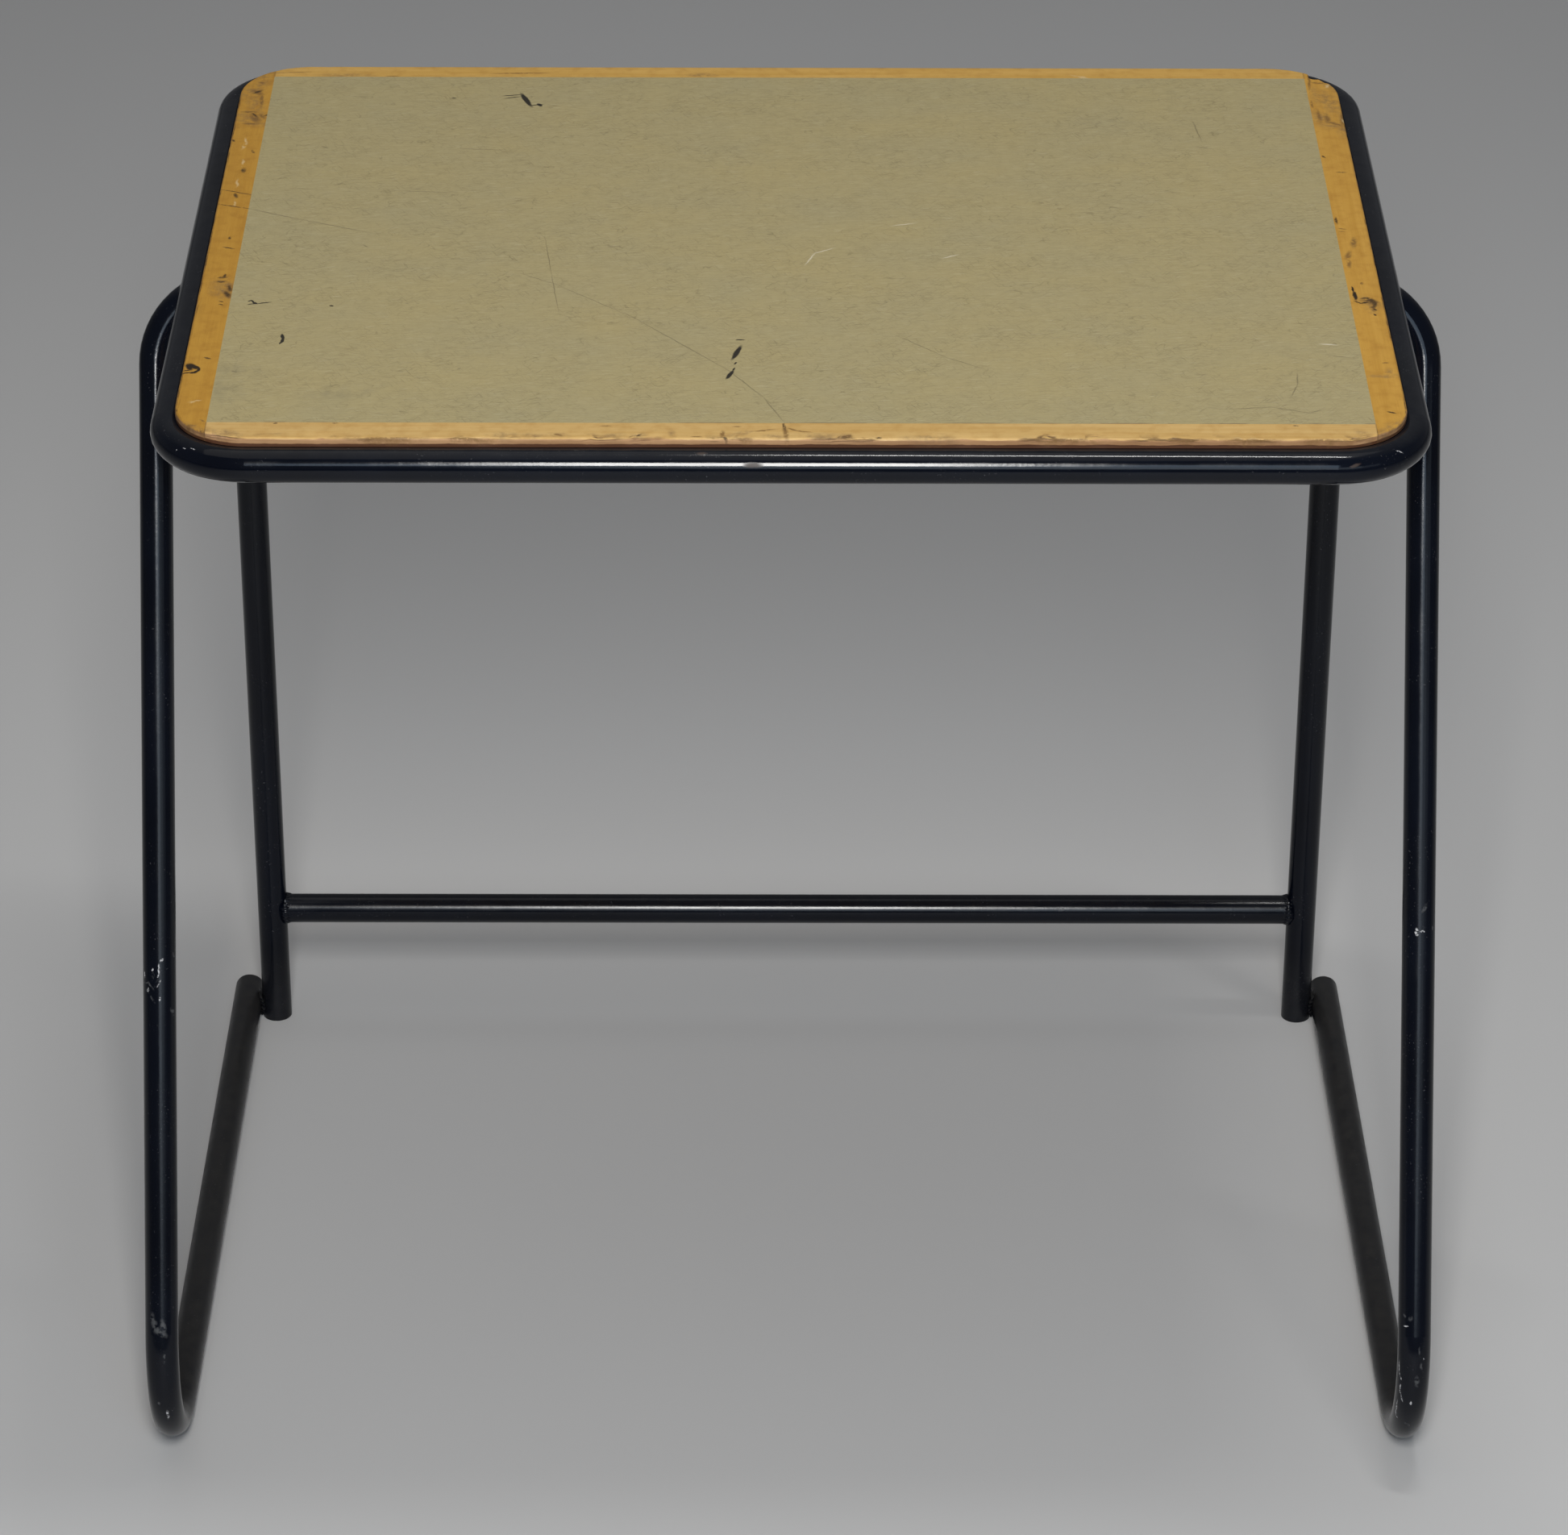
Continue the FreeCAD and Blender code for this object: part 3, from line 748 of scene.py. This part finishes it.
def lipping_finish(name, strip):
    """Varnished wooden strip, with its grain along the strip, dents, stains, a worn outer face and painted
    shade at that face's foot over the tube.
    """
    f = Finish(name)
    pale, mid, deep = strip["tones"]
    if strip["axis"] == 0:
        seed = 20.0
        grain_stretch = (9, 260, 260)
        pore_stretch = (40, 1500, 1500)
        crack_stretch = (30, 30, 700)
    else:
        seed = 40.0
        grain_stretch = (260, 9, 260)
        pore_stretch = (1500, 40, 1500)
        crack_stretch = (700, 30, 700)
    grain = f.noise(grain_stretch, seed, detail=5.0)
    pores = f.noise(pore_stretch, seed + 1, detail=2.0)
    mottle = f.noise((120, 120, 120), seed + 2, detail=4.0)
    colour = f.blend(f.spread(grain, 0.32, 0.68), pale, mid)
    colour = f.blend(f.spread(mottle, 0.46, 0.75, 0.0, 0.55), colour, deep)
    colour = f.blend(f.spread(pores, 0.56, 0.72, 0.0, 0.30), colour, deep)

    uneven = f.noise((60, 60, 60), seed + 3, detail=4.0)
    worn_line = f.spread(uneven, 0.3, 0.7, top_height - worn_line_low, top_height - worn_line_high)
    worn = f.spread(f.calc("SUBTRACT", worn_line, f.z), 0.0, worn_rim)
    worn_grain = f.blend(f.spread(grain, 0.38, 0.62), worn_pale, worn_dark)
    colour = f.tinted(colour, worn, 0.9, worn_grain)
    crack_field = f.noise(crack_stretch, seed + 4, detail=5.0)
    near_edge = f.spread(f.z, top_height - cracks_low, top_height - cracks_high)
    near_edge = f.calc("MULTIPLY", near_edge, f.spread(f.z, top_height, top_height - cracks_end))
    cracks = f.calc("MULTIPLY", f.contours(crack_field, 0.05), near_edge)
    cracks = f.calc("MULTIPLY", cracks, f.spread(f.noise((26, 26, 26), seed + 5), 0.46, 0.56))
    colour = f.tinted(colour, cracks, 0.8, crack_brown)
    # Painted shade: the foot of the outer face is darkened to stand for the shadow in the gap between the
    # wood and the tube below it
    shade_line = f.spread(uneven, 0.3, 0.7, top_height - shade_line_low, top_height - shade_line_high)
    painted_foot_shade = f.spread(f.calc("SUBTRACT", shade_line, f.z), 0.0, shade_rim, 0.0, 0.95)
    colour = f.blend(painted_foot_shade, colour, painted_shade_brown)

    rough_place = f.roughened(130, seed, 6.0 * mm)
    hand_place = f.roughened(260, seed + 1, 1.6 * mm)
    speckle = f.spread(f.noise((210, 210, 210), seed + 6, detail=7.0, roughness=0.7), 0.36, 0.68)
    stain = f.calc("MULTIPLY", f.strokes(rough_place, strip["stains"], 0.7), speckle)
    colour = f.tinted(colour, stain, 0.80, stain_brown)
    ragged = f.spread(f.noise((600, 600, 600), seed + 7, detail=3.0), 0.30, 0.46)
    tan = f.calc("MULTIPLY", f.strokes(hand_place, strip["tans"], 0.5), ragged)
    colour = f.tinted(colour, tan, 0.80, tan_brown)
    chip = f.calc("MULTIPLY", f.strokes(rough_place, strip["chips"], 0.5), f.spread(mottle, 0.44, 0.54))
    colour = f.tinted(colour, chip, 0.60, chip_cream)
    dent = f.calc("MULTIPLY", f.strokes(hand_place, strip["dents"], 0.45), ragged)
    colour = f.tinted(colour, dent, 0.92, dent_brown)
    ink = f.strokes(hand_place, strip["inks"], 0.3)
    colour = f.tinted(colour, ink, 0.97, wood_ink)

    off_joint = f.calc("ABSOLUTE", f.calc("SUBTRACT", f.calc("ABSOLUTE", f.x), sheet_high[0]))
    beyond_sheet = f.calc("MAXIMUM", f.calc("GREATER_THAN", f.y, sheet_high[1]),
                          f.calc("LESS_THAN", f.y, sheet_low[1]))
    joint_line = f.spread(off_joint, joint_line_end, joint_line_full, 0.0, 0.4)
    colour = f.blend(f.calc("MULTIPLY", joint_line, beyond_sheet), colour, joint_brown)

    rough = f.spread(grain, 0.3, 0.7, 0.34, 0.46)
    rough = f.calc("ADD", rough, f.calc("MULTIPLY", f.calc("MAXIMUM", worn, stain), 0.3))
    hollow = f.calc("MAXIMUM", f.calc("MAXIMUM", dent, cracks), f.calc("MULTIPLY", pores, 0.15))
    f.shader.inputs["Specular IOR Level"].default_value = 0.30
    return f.done(colour, rough, f.bump(f.calc("SUBTRACT", 1.0, hollow), 0.25 * mm))


def paint_finish():
    """Blue-black stove enamel: slightly uneven, dusty on top, scuffed and chipped to bright metal, with
    painted highlights on the ring's front bends.
    """
    f = Finish("frame_paint")
    cloud = f.noise((14, 14, 14), 60.0)
    colour = f.blend(f.spread(cloud, 0.35, 0.65), paint_dark, paint_pale)
    up = f.add("SeparateXYZ", Vector=f.add("NewGeometry").outputs["Normal"]).outputs["Z"]
    dust_noise = f.noise((120, 120, 120), 61.0, detail=5.0)
    dust = f.calc("MULTIPLY", f.spread(up, 0.72, 0.98), f.spread(dust_noise, 0.30, 0.70, 0.5, 1.0))
    colour = f.tinted(colour, dust, 0.22, dust_grey)

    floor_dust = f.calc("MULTIPLY", f.spread(f.z, floor_dust_to, floor_dust_from), f.spread(up, -0.3, 0.5))
    floor_dust = f.calc("MULTIPLY", floor_dust, f.spread(dust_noise, 0.30, 0.70, 0.55, 1.0))
    colour = f.tinted(colour, floor_dust, 0.55, floor_dust_grey)

    rub = f.noise((36, 36, 36), 62.0, detail=5.0)
    specks = f.spread(f.noise((900, 900, 900), 63.0, detail=1.0), 0.70, 0.76)
    specks = f.calc("MULTIPLY", specks, f.spread(rub, 0.46, 0.62))
    colour = f.tinted(colour, specks, 0.45, speck_grey)
    hand_place = f.roughened(300, 64.0, 1.6 * mm)
    break_up = f.spread(f.noise((420, 420, 420), 65.0, detail=4.0), 0.40, 0.56)
    scuffs = f.calc("MULTIPLY", f.strokes(hand_place, grey_scratches, 0.5), break_up)
    colour = f.tinted(colour, scuffs, 0.65, scuff_grey)
    rust = f.strokes(hand_place, brown_chips, 0.4)
    colour = f.tinted(colour, rust, 0.8, paint_rust)
    # Bright metal where the paint is chipped, and painted highlights where the marks lie on the ring's
    # front bends
    ragged = f.spread(f.noise((900, 900, 900), 66.0, detail=3.0), 0.43, 0.54)
    bright = f.calc("MULTIPLY", f.strokes(hand_place, bright_scratches_and_glints, 0.25), ragged)
    colour = f.blend(bright, colour, bare_metal_and_glint)

    marked = f.calc("MAXIMUM", f.calc("MAXIMUM", scuffs, bright), rust)
    dull = f.spread(f.z, polished_from, dull_to)
    rough = f.spread(rub, 0.35, 0.70, 0.08, 0.16)
    rough = f.calc("ADD", rough, f.calc("MULTIPLY", dull, 0.07))
    rough = f.calc("ADD", rough, f.calc("MULTIPLY", floor_dust, 0.25))
    rough = f.calc("ADD", rough, f.calc("MULTIPLY", marked, 0.30))
    peel = f.noise((420, 420, 420), 67.0, detail=2.0)
    ripple = f.noise((70, 70, 70), 68.0, detail=2.0)
    scrapes = f.calc("MULTIPLY", f.noise((1300, 1300, 60), 69.0, detail=2.0), dull)
    height = f.calc("ADD", f.calc("MULTIPLY", peel, 0.35), ripple)
    height = f.calc("ADD", height, f.calc("MULTIPLY", scrapes, 0.3))
    height = f.calc("SUBTRACT", height, f.calc("MULTIPLY", bright, 0.8))
    f.shader.inputs["Specular IOR Level"].default_value = 0.23
    return f.done(colour, rough, f.bump(height, 0.05 * mm))


def plywood_finish():
    """Rotary-cut underside of the board: broad wavy grain, pores and dirt."""
    f = Finish("plywood")
    place = f.roughened(3.0, 80.0, 60 * mm)
    shift = f.add("Mapping", Vector=place, Scale=(2.2, 42, 42))
    grain = f.add("TexNoise", Vector=shift.outputs["Vector"], Scale=1.0, Detail=6.0).outputs["Fac"]
    pores = f.noise((60, 1400, 1400), 81.0, detail=2.0)
    cloud = f.noise((5, 8, 5), 82.0)
    colour = f.blend(f.spread(grain, 0.36, 0.64), ply_pale, ply_dark)
    colour = f.blend(f.spread(pores, 0.56, 0.72, 0.0, 0.4), colour, ply_pore)
    colour = f.blend(f.spread(cloud, 0.52, 0.75, 0.0, 0.5), colour, ply_dirt)
    rough = f.spread(grain, 0.3, 0.7, 0.55, 0.72)
    return f.done(colour, rough, f.bump(f.calc("ADD", grain, f.calc("MULTIPLY", pores, 0.4)), 0.15 * mm))


def plug_finish():
    """Black rubber, greyed and gritty where it has slid over floors."""
    f = Finish("end_plug")
    grit = f.noise((700, 700, 700), 90.0, detail=4.0)
    scrape = f.noise((90, 700, 90), 91.0, detail=4.0)
    colour = f.blend(f.spread(grit, 0.40, 0.65), rubber_black, rubber_grey)
    colour = f.blend(f.spread(scrape, 0.54, 0.70, 0.0, 0.6), colour, rubber_scrape)
    return f.done(colour, f.spread(scrape, 0.3, 0.7, 0.62, 0.85), f.bump(grit, 0.2 * mm))


def screw_finish():
    """Zinc-plated steel, dulled, with rust in patches."""
    f = Finish("screw_steel")
    brush = f.noise((300, 2600, 300), 100.0, detail=3.0)
    rust = f.spread(f.noise((380, 380, 380), 101.0, detail=5.0), 0.52, 0.64)
    colour = f.blend(f.spread(brush, 0.3, 0.7), zinc_dark, zinc_pale)
    colour = f.blend(rust, colour, screw_rust)
    rough = f.calc("ADD", f.spread(brush, 0.3, 0.7, 0.30, 0.46), f.calc("MULTIPLY", rust, 0.35))
    return f.done(colour, rough, f.bump(brush, 0.05 * mm), f.spread(rust, 0.0, 1.0, 0.9, 0.1))


def copied_mesh(name):
    """The mesh of a CAD node in the desk's frame, with its doubled vertices joined."""
    node = frame["nodes"][name]
    work = bmesh.new()
    work.from_mesh(node.data)
    work.transform(node.matrix_world)
    bmesh.ops.remove_doubles(work, verts=work.verts, dist=join_distance)
    return work


def new_piece(name, work, material, replaced):
    """Makes an object of the finished mesh that stands for a CAD node on the desk's one body."""
    mesh = bpy.data.meshes.new(name)
    work.to_mesh(mesh)
    work.free()
    if "custom_normal" in mesh.attributes:
        mesh.attributes.remove(mesh.attributes["custom_normal"])
    mesh.shade_smooth()
    mesh.set_sharp_from_angle(angle=sharp_angle)
    mesh.materials.append(material)
    piece = bpy.data.objects.new(name, mesh)
    bpy.context.scene.collection.objects.link(piece)
    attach(piece, "root")
    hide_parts(replaced)


def smooth_step(value, low, high):
    """Nought at the low end and one at the high end, with a soft start and finish between them."""
    share = min(max((value - low) / (high - low), 0), 1)
    return share * share * (3 - 2 * share)


def edge_wear(place, strength):
    """How far the lipping's upper outer edge is worn in: a little everywhere, with chips in places."""
    fine = noise.noise(place * fine_wear_to_metre)
    chip = noise.noise(place * chips_to_metre)
    chipped = smooth_step(chip + chip_raggedness * fine, chip_starts, chip_full)
    return strength * (even_wear * (1 + fine) + chip_wear * chipped)


def broken_away(place):
    """Extra wear where the wood is broken away above the back right bend."""
    depth = 0
    splinter = broken_raggedness * noise.noise(place * splinters_to_metre)
    for centre, reach, deepest in broken_places:
        near = smooth_step((place.xy - Vector(centre)).length, reach, broken_full * reach)
        depth = max(depth, near * deepest * (1 + splinter))
    return depth


def way_in(place):
    """How deep a place lies inside the top's rounded outline, and the direction inwards there."""
    half = (top_high - top_low) / 2
    offset = place.xy - (top_low + top_high) / 2
    beyond = [max(abs(offset[axis]) - half[axis] + corner_radius, 0) for axis in range(2)]
    inward = Vector([-math.copysign(beyond[axis], offset[axis]) for axis in range(2)])
    return corner_radius - inward.length, inward.normalized()


def cut_across(work, axis, place):
    """Cuts the faces that reach across a plane, so that they have vertices there to move."""
    crossing = []
    for face in work.faces:
        reach = [vertex.co[axis] for vertex in face.verts]
        if min(reach) < place - join_distance and max(reach) > place + join_distance:
            crossing.append(face)
    edges = {edge for face in crossing for edge in face.edges}
    vertices = {vertex for face in crossing for vertex in face.verts}
    normal = Vector((axis == 0, axis == 1, axis == 2))
    bmesh.ops.bisect_plane(work, geom=[*vertices, *edges, *crossing],
                           plane_co=normal * place, plane_no=normal)


def cut_for_wear(work, name, axis):
    """Cuts a strip along and across its length, and more finely round the broken places."""
    low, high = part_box(name)
    side = 1 - axis
    on_low_side = low[side] + high[side] < sheet_low[side] + sheet_high[side]
    outer_edge = low[side] if on_low_side else high[side]
    inner_edge = low[side] + high[side] - outer_edge
    for share in lengthwise_cuts:
        cut_across(work, side, outer_edge + share * (inner_edge - outer_edge))
    count = round((high[axis] - low[axis]) / wear_step)
    for step in range(1, count):
        cut_across(work, axis, low[axis] + step * (high[axis] - low[axis]) / count)
    if name == broken_strip:
        for centre, reach, _ in broken_places:
            for step in range(round(2 * reach / broken_step)):
                for cut_axis in range(2):
                    cut_across(work, cut_axis, centre[cut_axis] - reach + step * broken_step)


def worn_strip(name, axis, strength, material):
    """A lipping strip with flat faces merged and cut anew, and its upper outer edge worn and chipped."""
    work = copied_mesh(name)
    bmesh.ops.dissolve_limit(work, angle_limit=flat_angle, verts=work.verts, edges=work.edges)
    cut_for_wear(work, name, axis)
    for vertex in work.verts:
        place = vertex.co.copy()
        depth, inward = way_in(place)
        if depth > worn_reach or place.z < top_height - worn_depth:
            continue
        upper = smooth_step(place.z, top_height - worn_depth, top_height)
        outer = smooth_step(depth, worn_reach, 0)
        wear = edge_wear(place, strength) * upper
        vertex.co.xy += inward * ((wear + broken_away(place)) * outer)
        vertex.co.z -= wear_downwards * wear * outer
    new_piece("worn_" + name, work, material, name)


def rippled_weld(name, phase, material):
    """A weld with the ripples and lumps of a hand-laid bead. Phase gives the ripple's angle at a place."""
    work = copied_mesh(name)
    mesh = bpy.data.meshes.new("plain_" + name)
    work.to_mesh(mesh)
    work.free()
    plain = bpy.data.objects.new("plain_" + name, mesh)
    bpy.context.scene.collection.objects.link(plain)
    remesh = plain.modifiers.new("even_faces", "REMESH")
    remesh.mode = "VOXEL"
    remesh.voxel_size = weld_face_size
    even = plain.evaluated_get(bpy.context.evaluated_depsgraph_get())
    work = bmesh.new()
    work.from_mesh(even.data)
    bpy.data.objects.remove(plain)
    for _ in range(weld_smoothing):
        bmesh.ops.smooth_vert(work, verts=work.verts, factor=weld_smoothing_share,
                              use_axis_x=True, use_axis_y=True, use_axis_z=True)
    work.normal_update()
    for vertex in work.verts:
        lump = noise.noise(vertex.co * weld_lumps_to_metre)
        ripple = math.sin(phase(vertex.co) + ripple_wander * lump)
        vertex.co += vertex.normal * (weld_ripple * ripple + weld_lump * lump)
    new_piece("rippled_" + name, work, material, name)


def stretcher_phase(place):
    return ripples_round_tube * math.atan2(place.z - stretcher_middle[2], place.y - stretcher_middle[1])


def rear_leg_phase(place):
    return ripples_round_tube * math.atan2(place.y - rear_leg_middle[1], abs(place.x) - rear_leg_middle[0])


def runner_phase(place):
    return math.tau * place.z / runner_ripple


make_camera()
make_studio()
make_floor()

finishes = {
    "frame_paint": paint_finish(),
    "end_plug": plug_finish(),
    "plywood": plywood_finish(),
    "laminate": laminate_finish(),
    "screw_steel": screw_finish(),
}
strip_finishes = {}
for name, strip in strips.items():
    strip_finishes[name] = lipping_finish(name.replace("lipping_", "lipping_wood_"), strip)

slots = {row["node"]: row["material_slot"] for row in frame["record"]["subparts"]}
for name, node in frame["nodes"].items():
    node.data.materials.clear()
    node.data.materials.append(strip_finishes.get(name) or finishes[slots[name]])

for name, strip in strips.items():
    worn_strip(name, strip["axis"], strip["wear"], strip_finishes[name])
rippled_weld("stretcher_welds", stretcher_phase, finishes["frame_paint"])
rippled_weld("rear_leg_welds", rear_leg_phase, finishes["frame_paint"])
rippled_weld("runner_welds", runner_phase, finishes["frame_paint"])
